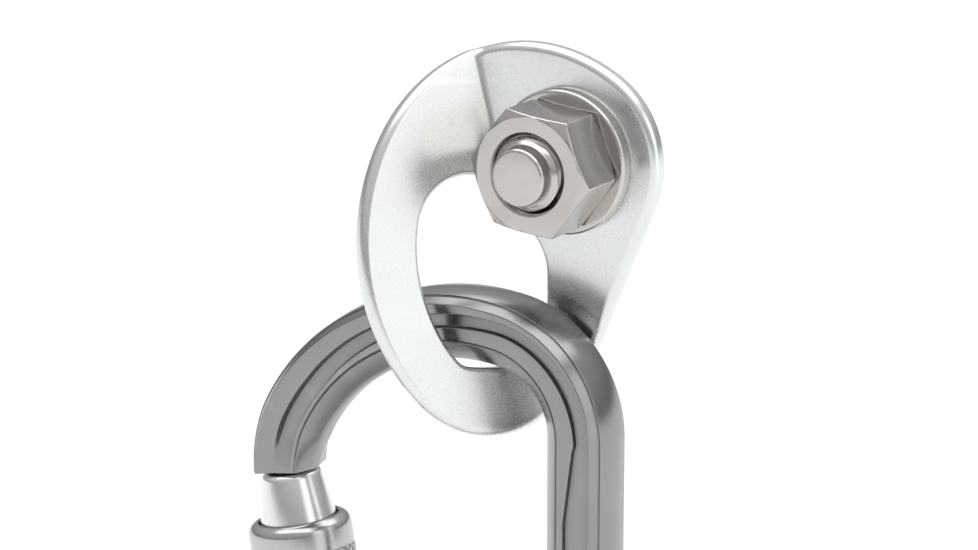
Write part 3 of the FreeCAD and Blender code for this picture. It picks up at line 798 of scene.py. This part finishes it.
build_barrel()
place(build_sleeve(), "sleeve", "sleeve_alloy", SLEEVE, "locking_sleeve")

for node, material in (("gate_rivet", PIN), ("gate_spring", WIRE),
                       ("spring_pusher", PIN), ("sleeve_stop_ring", PIN), ("sleeve_guide_ring", GUIDE)):
    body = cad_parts[node]
    body.data.materials.clear()
    body.data.materials.append(material)


# ---------------------------------------------------------------- floor, light and camera

def stage_floor():
    half = 30.0
    low = cad_box[0][2] - 0.012
    mesh = bpy.data.meshes.new("floor")
    mesh.from_pydata([(-half, -half, low), (half, -half, low), (half, half, low), (-half, half, low)],
                     [], [(0, 1, 2, 3)])
    floor = bpy.data.objects.new("floor", mesh)
    bpy.context.scene.collection.objects.link(floor)
    made = bpy.data.materials.new("pale_floor")
    made.use_nodes = True
    shader = made.node_tree.nodes["Principled BSDF"]
    shader.inputs["Base Color"].default_value = (0.9, 0.9, 0.9, 1)
    shader.inputs["Roughness"].default_value = 0.9
    shader.inputs["Specular IOR Level"].default_value = 0.1
    mesh.materials.append(made)


def aim(thing, place_at, target):
    thing.location = place_at
    thing.rotation_euler = (Vector(target) - Vector(place_at)).to_track_quat("-Z", "Y").to_euler()


def softbox(name, place_at, target, size, power):
    light = bpy.data.lights.new(name, "AREA")
    light.shape = "RECTANGLE"
    light.size, light.size_y = size
    light.energy = power
    lamp = bpy.data.objects.new(name, light)
    bpy.context.scene.collection.objects.link(lamp)
    aim(lamp, place_at, target)


# Surroundings: height of a direction (its sine) where the fade starts and ends, and their tones.
FADE_LOW, FADE_HIGH = -0.05, 0.45
HORIZON_TONE, OVERHEAD_TONE = 0.22, 0.6


def studio():
    """Soft surroundings, paler overhead than at the horizon, and two softboxes."""
    world = bpy.data.worlds.new("studio")
    world.use_nodes = True
    tree = world.node_tree
    place_at = tree.nodes.new("ShaderNodeTexCoord")
    split = tree.nodes.new("ShaderNodeSeparateXYZ")
    fade = tree.nodes.new("ShaderNodeMapRange")
    fade.interpolation_type = "SMOOTHSTEP"
    fade.inputs["From Min"].default_value = FADE_LOW
    fade.inputs["From Max"].default_value = FADE_HIGH
    fade.inputs["To Min"].default_value = HORIZON_TONE
    fade.inputs["To Max"].default_value = OVERHEAD_TONE
    tree.links.new(place_at.outputs["Generated"], split.inputs["Vector"])
    tree.links.new(split.outputs["Z"], fade.inputs["Value"])
    tree.links.new(fade.outputs["Result"], tree.nodes["Background"].inputs["Color"])
    bpy.context.scene.world = world
    bpy.context.scene.view_settings.view_transform = "Standard"
    middle = (-0.01, 0.0, -0.03)
    softbox("overhead", (0.0, 0.6, 3.0), (0.0, 0.6, 0.0), (5.0, 5.0), 118.0)
    softbox("right", (1.7, -0.1, 0.45), middle, (1.5, 1.6), 6.5)


def camera():
    data = bpy.data.cameras.new("camera")
    data.sensor_width = 36.0
    data.lens = 114.66
    data.clip_start = 0.01
    data.clip_end = 200.0
    cam = bpy.data.objects.new("camera", data)
    bpy.context.scene.collection.objects.link(cam)
    turn, lift = math.radians(31.5), math.radians(14.8)
    back = Vector((math.sin(turn) * math.cos(lift), -math.cos(turn) * math.cos(lift), math.sin(lift)))
    cam.location = Vector((243.2, -423.6, 109.3)) * MM
    cam.rotation_euler = back.to_track_quat("Z", "Y").to_euler()
    bpy.context.scene.camera = cam


stage_floor()
studio()
camera()
